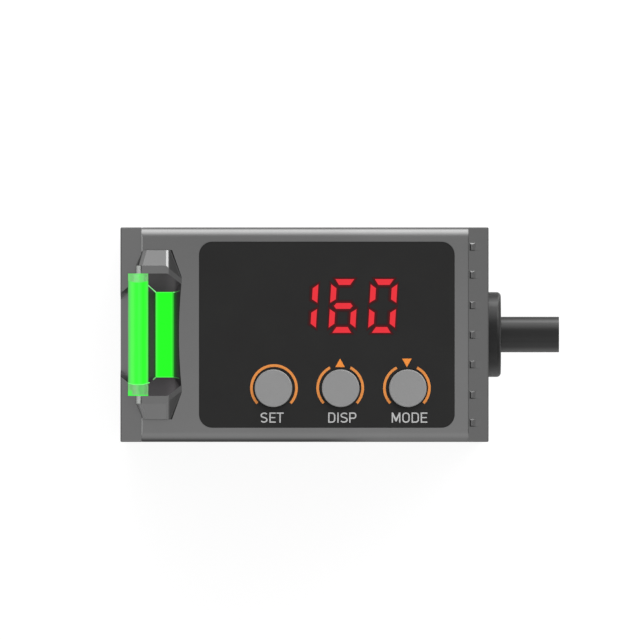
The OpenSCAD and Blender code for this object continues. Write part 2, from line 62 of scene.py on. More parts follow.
# ---------------------------------------------------------------- camera
WIDTH = 640 * PX
cam_data = bpy.data.cameras.new("camera")
cam = bpy.data.objects.new("camera", cam_data)
scene.collection.objects.link(cam)
cam_data.lens = 1200
cam_data.sensor_width = 36
cam_data.clip_start = 0.1
cam_data.clip_end = 50
cx, cy = xy(320, 320)
cam.location = (cx * MM, cy * MM, 0.050 + WIDTH * cam_data.lens / 36)
cam.rotation_euler = (0, 0, 0)
scene.camera = cam

scene.view_settings.view_transform = "Standard"
scene.view_settings.look = "None"
scene.view_settings.exposure = 0
scene.view_settings.gamma = 1


# ---------------------------------------------------------------- material helpers
def srgb(h):
    h = h.lstrip("#")
    out = []
    for i in (0, 2, 4):
        c = int(h[i:i + 2], 16) / 255
        out.append(c / 12.92 if c <= 0.04045 else ((c + 0.055) / 1.055) ** 2.4)
    return out


class Mat:
    """A small wrapper that keeps node building readable."""

    def __init__(self, name):
        self.m = bpy.data.materials.new(name)
        self.m.use_nodes = True
        self.nt = self.m.node_tree
        self.nt.nodes.clear()
        self.out = self.node("ShaderNodeOutputMaterial")
        self.bsdf = self.node("ShaderNodeBsdfPrincipled")
        self.nt.links.new(self.bsdf.outputs[0], self.out.inputs[0])
        self.co = self.node("ShaderNodeTexCoord").outputs["Object"]

    def node(self, kind):
        return self.nt.nodes.new(kind)

    def link(self, a, b):
        self.nt.links.new(a, b)

    def put(self, value, socket):
        if hasattr(value, "is_output"):
            self.link(value, socket)
        else:
            socket.default_value = value

    def math(self, op, a, b=None, c=None, clamp=False):
        n = self.node("ShaderNodeMath")
        n.operation = op
        n.use_clamp = clamp
        for i, v in enumerate((a, b, c)):
            if v is not None:
                self.put(v, n.inputs[i])
        return n.outputs[0]

    def xyz(self):
        n = self.node("ShaderNodeSeparateXYZ")
        self.link(self.co, n.inputs[0])
        return n.outputs

    def scaled(self, sx, sy, sz):
        n = self.node("ShaderNodeMapping")
        self.link(self.co, n.inputs["Vector"])
        n.inputs["Scale"].default_value = (sx, sy, sz)
        return n.outputs[0]

    def noise(self, size_mm, detail=2.0, rough=0.5, vector=None):
        n = self.node("ShaderNodeTexNoise")
        n.inputs["Scale"].default_value = 1 / (size_mm * MM) if vector is None else 1.0
        n.inputs["Detail"].default_value = detail
        n.inputs["Roughness"].default_value = rough
        self.link(self.co if vector is None else vector, n.inputs["Vector"])
        return n.outputs["Fac"]

    def voronoi(self, size_mm, feature="F1"):
        n = self.node("ShaderNodeTexVoronoi")
        n.feature = feature
        n.inputs["Scale"].default_value = 1 / (size_mm * MM)
        self.link(self.co, n.inputs["Vector"])
        return n.outputs["Distance"]

    def remap(self, value, lo, hi, to_lo, to_hi, smooth=False):
        n = self.node("ShaderNodeMapRange")
        n.interpolation_type = "SMOOTHSTEP" if smooth else "LINEAR"
        self.link(value, n.inputs[0])
        for i, v in zip((1, 2, 3, 4), (lo, hi, to_lo, to_hi)):
            n.inputs[i].default_value = v
        return n.outputs[0]

    def mix(self, fac, a, b, mode="MIX"):
        n = self.node("ShaderNodeMix")
        n.data_type = "RGBA"
        n.blend_type = mode
        self.put(fac, n.inputs[0])
        for v, s in ((a, n.inputs[6]), (b, n.inputs[7])):
            self.put(v if hasattr(v, "is_output") else (*v[:3], 1), s)
        return n.outputs[2]

    def ramp(self, fac, stops, smooth=False):
        n = self.node("ShaderNodeValToRGB")
        n.color_ramp.interpolation = "EASE" if smooth else "LINEAR"
        e = n.color_ramp.elements
        while len(e) > 1:
            e.remove(e[-1])
        e[0].position, e[0].color = stops[0][0], (*stops[0][1], 1)
        for p, c in stops[1:]:
            k = e.new(p)
            k.color = (*c, 1)
        self.link(fac, n.inputs[0])
        return n.outputs[0]

    def bump(self, height, distance_mm, strength=1.0, normal=None):
        n = self.node("ShaderNodeBump")
        n.inputs["Strength"].default_value = strength
        n.inputs["Distance"].default_value = distance_mm * MM
        self.link(height, n.inputs["Height"])
        if normal is not None:
            self.link(normal, n.inputs["Normal"])
        return n.outputs[0]

    def set(self, **kw):
        names = {"color": "Base Color", "rough": "Roughness", "metal": "Metallic", "spec": "Specular IOR Level",
                 "normal": "Normal", "emit": "Emission Color", "power": "Emission Strength", "ior": "IOR",
                 "coat": "Coat Weight", "coat_rough": "Coat Roughness", "alpha": "Alpha",
                 "trans": "Transmission Weight", "aniso": "Anisotropic", "sss": "Subsurface Weight"}
        for k, v in kw.items():
            s = self.bsdf.inputs[names[k]]
            if isinstance(v, (list, tuple)):
                s.default_value = (*v[:3], 1)
            else:
                self.put(v, s)
        return self


def moulded(name, rgb, rough=0.45, grain=0.16, depth=0.0012, vary=0.05, spec=0.5, cloud=6.0):
    """Moulded plastic: spark-eroded grain, faint flow clouds and a slightly uneven sheen."""
    m = Mat(name)
    g = m.noise(grain, 3, 0.6)
    g2 = m.noise(grain * 4.3, 2, 0.5)
    height = m.math("ADD", g, m.math("MULTIPLY", g2, 0.5))
    c = m.noise(cloud, 3, 0.55)
    tone = m.math("ADD", m.remap(c, 0.3, 0.7, -0.5, 0.5), m.remap(g, 0.3, 0.7, -0.25, 0.25))
    lo = [v * (1 - vary) for v in rgb]
    hi = [v * (1 + vary) for v in rgb]
    m.set(color=m.mix(m.remap(tone, -0.75, 0.75, 0, 1), lo, hi),
          rough=m.remap(m.noise(cloud * 0.4, 3, 0.6), 0.3, 0.7, rough - 0.03, rough + 0.04),
          spec=spec, normal=m.bump(height, depth))
    return m.m


def rubber(name, rgb, rough=0.6, grain=0.09, depth=0.004, spec=0.35, vary=0.08, sheen=0.0, painted_highlight=None):
    """Soft plastic or rubber. The last argument gives amounts added to the base colour by the normal's Y, a painted
    highlight and painted rim light; faces turned to +X then get a little painted light too.
    """
    m = Mat(name)
    m.bsdf.inputs["Sheen Weight"].default_value = sheen
    m.bsdf.inputs["Sheen Roughness"].default_value = 0.35
    g = m.noise(grain, 4, 0.65)
    color = m.mix(m.remap(m.noise(3.0, 2), 0.3, 0.7, 0, 1), [v * (1 - vary) for v in rgb], [v * (1 + vary) for v in rgb])
    if painted_highlight:
        side = m.node("ShaderNodeSeparateXYZ")
        m.link(m.node("ShaderNodeTexCoord").outputs["Normal"], side.inputs[0])
        f = m.ramp(m.remap(side.outputs[1], -1, 1, 0, 1), [((v + 1) / 2, (k,) * 3) for v, k in painted_highlight])
        end = m.remap(side.outputs[0], 0.2, 0.8, 0, 0.02)
        color = m.mix(1.0, m.mix(1.0, color, f, "ADD"), end, "ADD")
    m.set(color=color, rough=m.remap(g, 0.3, 0.7, rough - 0.05, rough + 0.06), spec=spec, normal=m.bump(g, depth))
    return m.m


def turned(name, rgb, rough=0.28, along="y", depth=0.0015):
    """Bright metal with fine turning lines across the given axis."""
    m = Mat(name)
    s = {"x": (9000, 300, 300), "y": (300, 9000, 300), "z": (300, 300, 9000)}[along]
    lines = m.noise(1, 3, 0.6, vector=m.scaled(*s))
    m.set(color=m.mix(lines, [v * 0.86 for v in rgb], rgb), metal=1.0,
          rough=m.remap(lines, 0.3, 0.7, rough - 0.06, rough + 0.1), normal=m.bump(lines, depth))
    return m.m


def board(name, rgb):
    m = Mat(name)
    wx = m.node("ShaderNodeTexWave")
    wx.inputs["Scale"].default_value = 700
    wx.inputs["Distortion"].default_value = 1.5
    m.link(m.co, wx.inputs["Vector"])
    tracks = m.remap(m.voronoi(1.6, "DISTANCE_TO_EDGE"), 0.03, 0.07, 1, 0)
    base = m.mix(wx.outputs["Fac"], [v * 0.85 for v in rgb], [v * 1.1 for v in rgb])
    m.set(color=m.mix(tracks, base, [v * 1.7 for v in rgb]), rough=m.remap(m.noise(0.7), 0.3, 0.7, 0.32, 0.44),
          normal=m.bump(tracks, 0.02))
    return m.m


GREEN = (0.012, 1.0, 0.012)


def satin(name, tone, rough=0.36, grain=0.14, depth=0.0006, shade=None):
    """Die cast metal with a satin grey finish: a fine even grain and a faint cloudiness.
    shade makes a factor for painted highlights and painted shade in the colour, so that edges and facets are painted
    paler or darker."""
    m = Mat(name)
    g = m.noise(grain, 3, 0.6)
    c = m.noise(7.0, 3, 0.55)
    t = m.math("ADD", m.remap(c, 0.3, 0.7, -0.5, 0.5), m.remap(g, 0.3, 0.7, -0.2, 0.2))
    color = m.mix(m.remap(t, -0.7, 0.7, 0, 1), [tone * 0.975] * 3, [tone * 1.025] * 3)
    if shade:
        color = m.mix(1.0, color, shade(m), "MULTIPLY")
    m.set(color=color,
          rough=m.remap(m.noise(2.6, 3, 0.6), 0.3, 0.7, rough - 0.012, rough + 0.012), normal=m.bump(g, depth))
    m.bsdf.inputs["Metallic"].default_value = 1.0
    level = m.remap(m.math("ABSOLUTE", facing(m)[2]), 0.985, 0.995, 0, 1)
    # painted: the level faces' reflection at a low angle is damped, a painted dimming of their sheen
    m.link(m.mix(level, (1, 1, 1), (0.45, 0.45, 0.45)), m.bsdf.inputs["Specular Tint"])  # the level faces stay grey at a low angle
    return m.m


# dark grey metal body with a satin coat
GREY = 0.15



def facing(m):
    """The surface normal in the part's own frame."""
    n = m.node("ShaderNodeSeparateXYZ")
    m.link(m.node("ShaderNodeTexCoord").outputs["Normal"], n.inputs[0])
    return n.outputs


def grey_ramp(m, value, lo, hi, stops):
    """A ramp of grey factors: each stop is a value between lo and hi and its factor, at most 4."""
    f = m.ramp(m.remap(value, lo, hi, 0, 1), [((v - lo) / (hi - lo), (g / 4,) * 3) for v, g in stops])
    bw = m.node("ShaderNodeRGBToBW")
    m.link(f, bw.inputs[0])
    return m.math("MULTIPLY", bw.outputs[0], 4.0)


def pick(m, mask, yes, no):
    """yes where the mask is 1, no where it is 0."""
    n = m.node("ShaderNodeMix")
    m.put(mask, n.inputs[0])
    m.put(no, n.inputs[2])
    m.put(yes, n.inputs[3])
    return n.outputs[0]


def housing_shade(m):
    """Painted light and shade: a little darker towards +Y, with a painted highlight along the long edge there and a
    painted dark edge at the other side.
    """
    x, y, z = m.xyz()
    n = facing(m)
    edge_highlight = grey_ramp(m, n[1], 0.3, 1.0, [(0.3, 1), (0.5, 1), (0.6, 1.12), (0.7, 1.42), (0.8, 1.62), (0.9, 1.4), (0.97, 1.1), (1.0, 1.0)])
    under_shade = grey_ramp(m, n[1], -1.0, -0.5, [(-1.0, 0.9), (-0.97, 0.45), (-0.85, 0.26), (-0.75, 0.58), (-0.62, 0.95), (-0.5, 1.0)])
    under_shade = pick(m, m.remap(x, 1.5 * MM, 9.0 * MM, 0, 1, smooth=True), 1.05, under_shade)
    shade_across = m.remap(y, -10.7 * MM, 10.7 * MM, 1.08, 0.93)
    return m.math("MULTIPLY", shade_across, m.math("MULTIPLY", edge_highlight, under_shade))


def front_shade(m):
    # Painted light and shade on the front cover: the notch's side walls and floor are painted paler, and the rim facing
    # +Y near the top is painted darker.
    x, y, z = m.xyz()
    n = facing(m)
    low = m.remap(z, 46.9 * MM, 47.0 * MM, 0, 1)
    here = m.math("MULTIPLY", low, m.remap(m.math("ABSOLUTE", y), 11.8 * MM, 11.9 * MM, 1, 0))
    sides = m.math("MULTIPLY", here, m.remap(m.math("ABSOLUTE", n[1]), 0.3, 0.5, 0, 1))
    floor = m.math("MULTIPLY", m.math("MULTIPLY", here, m.remap(z, 48.0 * MM, 48.1 * MM, 1, 0)), m.remap(n[2], 0.8, 0.9, 0, 1))
    rim = m.math("MULTIPLY", m.remap(z, 49.4 * MM, 49.5 * MM, 0, 1), m.remap(n[1], 0.15, 0.4, 0, 1))
    f = pick(m, sides, 2.0, 1.0)
    f = pick(m, floor, 1.45, f)
    return pick(m, rim, 0.42, f)


def rear_shade(m):
    # Painted light and shade on the rear cover: the ribs' faces turned to +Y get a painted highlight, stronger towards
    # +Y, and the rim facing +Y near the top is painted darker.
    z = m.xyz()[2]
    n = facing(m)
    near_top = m.math("MULTIPLY", m.remap(z, 49.4 * MM, 49.5 * MM, 0, 1), m.remap(m.math("ABSOLUTE", m.xyz()[1]), 12.2 * MM, 12.3 * MM, 0, 1))
    rib_highlight = m.math("MULTIPLY", m.remap(z, 49.86 * MM, 49.88 * MM, 0, 1), m.remap(n[1], 0.3, 0.5, 0, 1))
    f = pick(m, rib_highlight, m.remap(m.xyz()[1], 2 * MM, 9.5 * MM, 1.15, 1.95), 1.0)
    return pick(m, m.math("MULTIPLY", near_top, m.remap(n[1], 0.15, 0.4, 0, 1)), 0.42, f)


def bezel_shade(m):
    """Painted light and shade on the ears' small facets: each is painted a little paler or darker, and painted paler
    where they meet the body.
    """
    x, y, z = m.xyz()
    n = facing(m)
    up = m.remap(y, -0.1 * MM, 0.1 * MM, 0, 1)
    foot = m.remap(z, 50.05 * MM, 50.35 * MM, 1, 0)
    steep = pick(m, up, pick(m, foot, 3.2, 1.8), 5.2)
    middle = pick(m, up, 1.8, 2.6)
    glint = pick(m, up, 1.5, 1.75)
    low_foot = m.remap(z, 50.03 * MM, 50.12 * MM, 1, 0)
    crest = m.remap(m.math("ADD", m.math("MULTIPLY", m.math("ABSOLUTE", y), 0.361), m.math("MULTIPLY", z, 0.932)), 50.19 * MM, 50.40 * MM, 0, 1)
    right = pick(m, up, pick(m, crest, 1.6, pick(m, low_foot, 1.1, 0.64)), pick(m, crest, 2.7, pick(m, low_foot, 1.9, 1.4)))
    slant = m.remap(m.math("ABSOLUTE", n[1]), 0.1, 0.15, 0, 1)
    long_slope = m.math("MULTIPLY", slant, m.remap(m.math("ABSOLUTE", n[0]), 0.08, 0.16, 1, 0))
    toe = m.remap(z, 50.0 * MM, 50.07 * MM, 1.32, 1.0)
    f = pick(m, long_slope, pick(m, up, 0.9, toe), 1.0)
    f = pick(m, m.math("MULTIPLY", slant, m.remap(n[0], 0.24, 0.28, 0, 1)), glint, f)
    f = pick(m, m.math("MULTIPLY", slant, m.remap(n[0], 0.60, 0.62, 0, 1)), right, f)
    f = pick(m, m.math("MULTIPLY", slant, m.remap(n[0], -0.40, -0.44, 0, 1)), middle, f)
    return pick(m, m.math("MULTIPLY", slant, m.remap(n[0], -0.70, -0.75, 0, 1)), steep, f)


body_grey = satin("body_grey", GREY, shade=housing_shade)
front_grey = satin("front_grey", GREY * 0.99, shade=front_shade)
rear_grey = satin("rear_grey", GREY * 0.85, shade=rear_shade)
bezel_grey = satin("bezel_grey", GREY * 1.01, shade=bezel_shade)

# control overlay: a thin, very finely textured film
m = Mat("overlay_film")
film_grain = m.noise(0.06, 4, 0.7)
m.set(color=m.mix(m.remap(m.noise(5.0, 3), 0.3, 0.7, 0, 1), (0.0116, 0.0113, 0.0113), (0.0131, 0.0131, 0.0128)),
      rough=m.remap(film_grain, 0.3, 0.7, 0.5, 0.58), spec=0.15, normal=m.bump(film_grain, 0.0012))
overlay_film = m.m

key_grey = moulded("key_grey", (0.20, 0.20, 0.20), rough=0.5, grain=0.1, depth=0.001, vary=0.03)
label_ink = moulded("label_ink", (0.40, 0.40, 0.40), rough=0.55, grain=0.05, depth=0.0008, vary=0.05, spec=0.3)
orange_arc = moulded("orange_arc", (0.62, 0.218, 0.046), rough=0.55, grain=0.05, depth=0.0008, vary=0.05, spec=0.2)
orange_ink = moulded("orange_ink", (0.72, 0.226, 0.033), rough=0.55, grain=0.05, depth=0.0008, vary=0.05, spec=0.2)


# light bar: clear moulding lit from one side, with streaks along its length
m = Mat("bar_lit")
x, y, z = m.xyz()
streak_pos = m.remap(x, -20.56 * MM, -18.2 * MM, 0, 1)
wobble = m.remap(m.noise(1, 3, 0.6, vector=m.scaled(5200, 260, 5200)), 0.25, 0.75, -0.03, 0.03)
streaks = m.ramp(m.math("ADD", streak_pos, wobble), [
    (0.0, (0.10, 0.42, 0.11)), (0.05, (0.12, 0.64, 0.13)), (0.147, (0.10, 0.95, 0.105)), (0.246, (0.09, 0.99, 0.083)), (0.345, (0.05, 0.97, 0.053)),
    (0.443, (0.037, 0.99, 0.04)), (0.542, (0.06, 1.0, 0.068)), (0.641, (0.042, 0.99, 0.042)), (0.739, (0.02, 0.99, 0.019)),
    (0.81, (0.024, 0.99, 0.024)), (0.863, (0.034, 0.985, 0.034)), (0.912, (0.060, 0.97, 0.058)), (0.962, (0.112, 0.86, 0.106)),
    (1.0, (0.085, 0.56, 0.08))])
side = m.remap(x, -20.56 * MM, -18.2 * MM, -1, 1)
curve = m.math("SUBTRACT", 1.0, m.math("MULTIPLY", side, side))
low_edge = m.math("SUBTRACT", -5.60 * MM, m.math("MULTIPLY", curve, 0.25 * MM))
high_edge = m.math("SUBTRACT", 6.25 * MM, m.math("MULTIPLY", curve, 0.2 * MM))
low = m.remap(m.math("SUBTRACT", low_edge, y), 0.0, 0.07 * MM, 0, 1, smooth=True)
high = m.remap(m.math("SUBTRACT", y, high_edge), -0.06 * MM, 0.14 * MM, 0, 1, smooth=True)
# painted highlight: the bar's very ends are painted a pale grey and give no light
end_highlight = m.remap(m.math("ABSOLUTE", y), 7.10 * MM, 7.16 * MM, 0, 1)
speck = m.remap(m.noise(0.34, 4, 0.7), 0.36, 0.64, 0, 1)
low_tone = m.ramp(m.math("ADD", streak_pos, m.remap(m.noise(0.5, 3, 0.6), 0.3, 0.7, -0.06, 0.06)), [
    (0.0, (0.13, 0.60, 0.14)), (0.05, (0.19, 0.62, 0.19)), (0.19, (0.205, 0.43, 0.19)), (0.33, (0.25, 0.55, 0.24)), (0.47, (0.23, 0.67, 0.23)),
    (0.61, (0.135, 0.54, 0.15)), (0.75, (0.165, 0.57, 0.17)), (0.87, (0.15, 0.40, 0.15)), (0.94, (0.26, 0.48, 0.24)), (1.0, (0.08, 0.3, 0.08))])
high_tone = m.ramp(m.math("ADD", streak_pos, m.remap(m.noise(0.4, 3, 0.6), 0.3, 0.7, -0.08, 0.08)), [
    (0.0, (0.13, 0.66, 0.14)), (0.05, (0.165, 0.74, 0.165)), (0.19, (0.17, 0.64, 0.17)), (0.33, (0.24, 0.78, 0.25)), (0.47, (0.21, 0.96, 0.225)),
    (0.61, (0.125, 0.91, 0.13)), (0.75, (0.15, 0.80, 0.16)), (0.87, (0.12, 0.50, 0.125)), (0.94, (0.24, 0.62, 0.23)), (1.0, (0.08, 0.4, 0.08))])
low_tone = m.mix(m.math("MULTIPLY", speck, 0.3), low_tone, (0.12, 0.72, 0.13))
high_tone = m.mix(m.math("MULTIPLY", speck, 0.35), high_tone, (0.26, 0.60, 0.26))
rim = m.remap(m.math("ABSOLUTE", y), 6.96 * MM, 7.04 * MM, 0, 1, smooth=True)
corner = m.math("MULTIPLY", m.remap(streak_pos, 0.12, 0.3, 1, 0, smooth=True), m.remap(y, -6.3 * MM, -6.75 * MM, 0, 1, smooth=True))
low_tone = m.mix(m.math("MAXIMUM", rim, corner), low_tone, (0.07, 0.98, 0.08))
high_tone = m.mix(m.math("MULTIPLY", rim, 0.5), high_tone, (0.12, 0.85, 0.12))
glow = m.mix(high, m.mix(low, streaks, low_tone), high_tone)
ends = m.math("MAXIMUM", low, high)
m.set(color=m.mix(end_highlight, m.mix(ends, (0.004, 0.02, 0.004), (0.01, 0.03, 0.01)), (0.345, 0.36, 0.345)), emit=glow,
      power=m.math("MULTIPLY", m.math("SUBTRACT", 0.98, m.math("MULTIPLY", ends, 0.06)), m.math("SUBTRACT", 1.0, end_highlight)),
      rough=m.remap(m.noise(0.4, 3), 0.3, 0.7, 0.16, 0.26), spec=0.1,
      normal=m.bump(m.noise(1, 3, 0.6, vector=m.scaled(5200, 300, 5200)), 0.02))
bar_lit = m.m

# window over the indicator lamps: even, fully lit, with a paler left edge
m = Mat("window_lit")
x, y, z = m.xyz()
across = m.remap(x, -17.36 * MM, -15.23 * MM, 0, 1)
m.set(color=(0.005, 0.1, 0.005),
      emit=m.mix(m.remap(m.math("ABSOLUTE", y), 4.82 * MM, 4.96 * MM, 0, 0.8, smooth=True),
                 m.ramp(across, [(0.0, (0.08, 0.66, 0.08)), (0.055, (0.07, 0.83, 0.07)), (0.11, (0.023, 0.95, 0.023)), (0.165, (0.014, 0.99, 0.014)),
                                 (0.22, (0.010, 1.0, 0.010)), (0.81, (0.010, 1.0, 0.010)), (0.87, (0.026, 0.92, 0.026)), (0.93, (0.034, 0.66, 0.034)),
                                 (1.0, (0.016, 0.28, 0.016))]),
                 (0.10, 0.90, 0.10)),
      power=m.remap(m.noise(0.8, 2), 0.3, 0.7, 0.985, 1.015), rough=m.remap(m.noise(0.5), 0.3, 0.7, 0.25, 0.33), spec=0.1)
window_lit = m.m

# pocket liner: drawn dark, with a painted glow of the window's light where it meets the lit window
m = Mat("liner_dark")
x, y, z = m.xyz()
dx_r = m.math("SUBTRACT", x, -15.23 * MM)
dx_l = m.math("SUBTRACT", -17.36 * MM, x)
dy = m.math("SUBTRACT", m.math("ABSOLUTE", y), 4.98 * MM)
inside_y = m.remap(dy, -0.05 * MM, 0.12 * MM, 1, 0, smooth=True)
# painted glow of the window's light on the liner, strongest along the window's right and left edges
right = m.math("MULTIPLY", m.math("MULTIPLY", m.math("EXPONENT", m.math("DIVIDE", dx_r, -0.17 * MM)), inside_y),
               m.remap(dx_r, -0.03 * MM, 0.0, 0, 1))
left = m.math("MULTIPLY", m.math("MULTIPLY", m.math("EXPONENT", m.math("DIVIDE", dx_l, -0.07 * MM)), inside_y),
              m.remap(dx_l, -0.03 * MM, 0.0, 0, 1))
glow = m.math("ADD", m.math("MULTIPLY", m.math("MINIMUM", right, 1.0), 0.17), m.math("MULTIPLY", m.math("MINIMUM", left, 1.0), 0.05))
grain = m.noise(0.15, 3, 0.6)
tone = m.mix(m.remap(m.noise(2.5, 3), 0.3, 0.7, 0, 1), (0.92, 0.90, 0.91), (1.06, 1.05, 1.04))
# the liner's dark tone, with painted shade at the -Y end, painted light at the +Y end, painted light towards the
# window's right edge and painted shade beyond it
tone_and_shade_by_end = m.ramp(m.remap(y, -8 * MM, 8 * MM, 0, 1), [(0.0, (0.034, 0.032, 0.034)), (0.186, (0.032, 0.030, 0.032)), (0.20, (0.046, 0.047, 0.046)),
                                                    (0.80, (0.046, 0.047, 0.046)), (0.814, (0.066, 0.064, 0.066)), (1.0, (0.074, 0.072, 0.074))])
tone_and_shade_by_end = m.mix(1.0, tone_and_shade_by_end, grey_ramp(m, x, -16.6 * MM, -14.6 * MM, [(-16.6 * MM, 1.0), (-16.25 * MM, 1.05), (-15.25 * MM, 1.5), (-15.05 * MM, 1.3),
                                                                     (-14.95 * MM, 0.9), (-14.6 * MM, 0.8)]), "MULTIPLY")
# between the bar and the window the strip is painted green near both, a painted spill of their light
painted_spill = m.math("ADD", m.math("EXPONENT", m.math("DIVIDE", m.math("ABSOLUTE", m.math("SUBTRACT", x, -18.2 * MM)), -0.16 * MM)),
              m.math("EXPONENT", m.math("DIVIDE", m.math("ABSOLUTE", dx_l), -0.16 * MM)))
painted_spill = m.math("MINIMUM", m.math("MULTIPLY", painted_spill, 1.45), 1.0)
painted_spill = m.math("MULTIPLY", m.math("MULTIPLY", painted_spill, inside_y), m.remap(x, -17.3 * MM, -17.2 * MM, 1, 0))
# painted dark green shade on the liner just right of the window
shade_beside = m.math("MULTIPLY", m.math("MULTIPLY", m.remap(dx_r, 0.15 * MM, 0.45 * MM, 0.85, 0), inside_y), m.remap(dx_r, -0.03 * MM, 0.0, 0, 1))
liner_tone = m.mix(shade_beside, m.mix(1.0, tone_and_shade_by_end, tone, "MULTIPLY"), (0.010, 0.022, 0.010))
m.set(color=m.mix(painted_spill, liner_tone, (0.005, 0.080, 0.005)),
      emit=(0.06, 1.0, 0.07), power=glow, rough=m.remap(grain, 0.3, 0.7, 0.56, 0.64), spec=0.1, normal=m.bump(grain, 0.0015))
liner_dark = m.m


def lit(name, rgb, power, size=0.5, spread=0.05, base=None):
    """A surface that sends out its own even light."""
    m = Mat(name)
    n = m.noise(size, 3)
    m.set(color=base or [c * 0.2 for c in rgb], emit=m.mix(n, [c * (1 - spread) for c in rgb], [min(1, c * (1 + spread)) for c in rgb]),
          rough=m.remap(n, 0.3, 0.7, 0.4, 0.5), spec=0.1)
    m.bsdf.inputs["Emission Strength"].default_value = power
    return m.m


digit_red = lit("digit_red", (0.665, 0.025, 0.036), 1.0, size=0.6, spread=0.04)
# painted glow round the lit digits: a dim red ring close to each segment and a fainter one further out
digit_halo = lit("digit_halo", (0.072, 0.0015, 0.003), 1.0, size=0.3, spread=0.15, base=(0.004, 0.003, 0.003))
digit_haze = lit("digit_haze", (0.018, 0.0003, 0.0006), 1.0, size=0.3, spread=0.15, base=(0.010, 0.0075, 0.008))
leak_green = lit("leak_green", (0.23, 0.78, 0.25), 1.0, size=0.3, spread=0.2)
leak_dim = lit("leak_dim", (0.13, 0.42, 0.14), 1.0, size=0.3, spread=0.2)
leak_faint = lit("leak_faint", (0.05, 0.22, 0.05), 1.0, size=0.3, spread=0.3)
# painted green highlight for the ends of the lit bar
painted_green_glint = lit("painted_green_glint", (0.16, 0.92, 0.17), 1.0, size=0.3, spread=0.1)
# pale grey strip: a painted highlight along the front seam
painted_seam_highlight = moulded("painted_seam_highlight", (0.205, 0.205, 0.205), rough=0.4, grain=0.1, vary=0.05)

# infrared window: a deep red, nearly black, polished plate
m = Mat("infrared_plate")
n1 = m.noise(9.0, 2)
m.set(color=m.mix(n1, (0.010, 0.0035, 0.004), (0.016, 0.004, 0.005)), rough=m.remap(m.noise(2.0, 3), 0.3, 0.7, 0.05, 0.09), spec=0.5,
      normal=m.bump(m.noise(4.0, 1), 0.002))
infrared_plate = m.m

m = Mat("clear_lens")
m.set(color=m.mix(m.noise(3.0), (0.93, 0.95, 0.96), (0.97, 0.98, 0.98)), rough=m.remap(m.noise(1.0), 0.3, 0.7, 0.02, 0.04), trans=1.0, ior=1.49)
clear_lens = m.m

m = Mat("smoked_filter")
m.set(color=m.mix(m.noise(2.0), (0.020, 0.004, 0.005), (0.028, 0.006, 0.007)), rough=m.remap(m.noise(1.0), 0.3, 0.7, 0.2, 0.26), spec=0.4)
smoked_filter = m.m

black_mould = moulded("black_mould", (0.017, 0.0175, 0.019), rough=0.4, grain=0.2)
natural = moulded("natural_nylon", (0.62, 0.58, 0.46), rough=0.42, grain=0.2, vary=0.04)
ivory = moulded("ivory_mould", (0.72, 0.70, 0.62), rough=0.4, grain=0.2, vary=0.04)
lamp_white = moulded("lamp_white", (0.78, 0.82, 0.70), rough=0.25, grain=0.2, vary=0.03)
pcb = board("solder_mask", (0.012, 0.115, 0.052))
steel = turned("bright_steel", (0.31, 0.315, 0.33), along="y")
screw_steel = turned("screw_steel", (0.40, 0.41, 0.43), rough=0.32, along="z")
brass = turned("turned_brass", (0.66, 0.45, 0.17), along="x")
alu = turned("alu_sleeve", (0.60, 0.61, 0.63), along="x")
seal_black = rubber("seal_black", (0.018, 0.018, 0.019))
seal_brown = rubber("seal_brown", (0.045, 0.024, 0.02))
# painted highlight and painted rim light on the cable and its flange, added to the base colour by the normal's Y
PAINTED_HIGHLIGHT_BY_Y = [(-1.0, 0.09), (-0.93, 0.085), (-0.85, 0.05), (-0.7, 0.022), (-0.5, 0.008), (-0.4, 0.0), (0.52, 0.0), (0.64, 0.012), (0.70, 0.050),
         (0.75, 0.070), (0.82, 0.045), (0.9, 0.016), (1.0, 0.03)]
sheath = rubber("cable_sheath", (0.0135, 0.0135, 0.0135), rough=0.19, grain=0.2, depth=0.002, spec=0.22, vary=0.05, sheen=0.05, painted_highlight=PAINTED_HIGHLIGHT_BY_Y)
flange_black = rubber("flange_black", (0.0125, 0.0125, 0.0125), rough=0.22, grain=0.16, depth=0.002, spec=0.2, vary=0.05, sheen=0.05, painted_highlight=PAINTED_HIGHLIGHT_BY_Y)
copper = turned("bare_copper", (0.72, 0.33, 0.18), rough=0.3, along="x")
cores = {"core_brown": (0.10, 0.042, 0.016), "core_white": (0.74, 0.74, 0.72), "core_blue": (0.028, 0.075, 0.33),
         "core_black": (0.016, 0.016, 0.017), "core_grey": (0.24, 0.245, 0.255)}

finish = {
    "main_housing": body_grey, "front_cover": front_grey, "rear_cover": rear_grey, "indicator_bezel": bezel_grey,
    "indicator_liner": liner_dark, "light_bar": bar_lit, "light_window": window_lit, "indicator_board": pcb,
    "indicator_lamps": lamp_white, "front_window": infrared_plate, "window_tape": seal_black, "front_seal": seal_black,
    "rear_seal": seal_brown, "rear_screws": screw_steel, "bush_upper": steel, "bush_lower": steel,
    "control_overlay": overlay_film, "display_filter": smoked_filter, "display_module": black_mould,
    "display_segments": digit_red, "display_board": pcb, "key_gasket": seal_black, "key_set": key_grey,
    "key_disp": key_grey, "key_mode": key_grey, "plunger_set": natural, "plunger_disp": natural, "plunger_mode": natural,
    "switch_bodies": black_mould, "optics_block": black_mould, "receiver_lens": clear_lens, "transmitter_lens": clear_lens,
    "lens_ring": alu, "laser_diode": brass, "laser_holder": brass, "optics_board": pcb, "receiver_chip": black_mould,
    "main_board": pcb, "board_parts": black_mould, "board_link": ivory, "wire_header": ivory, "cable_flange": flange_black,
    "cable_clamp": alu, "cable_jacket": sheath, "core_copper": copper,
}
for name, rgb in cores.items():
    finish[name] = moulded(name + "_skin", rgb, rough=0.38, grain=0.12, vary=0.05)
for name, obj in frame["nodes"].items():
    for slot in obj.material_slots:
        slot.material = finish[name]


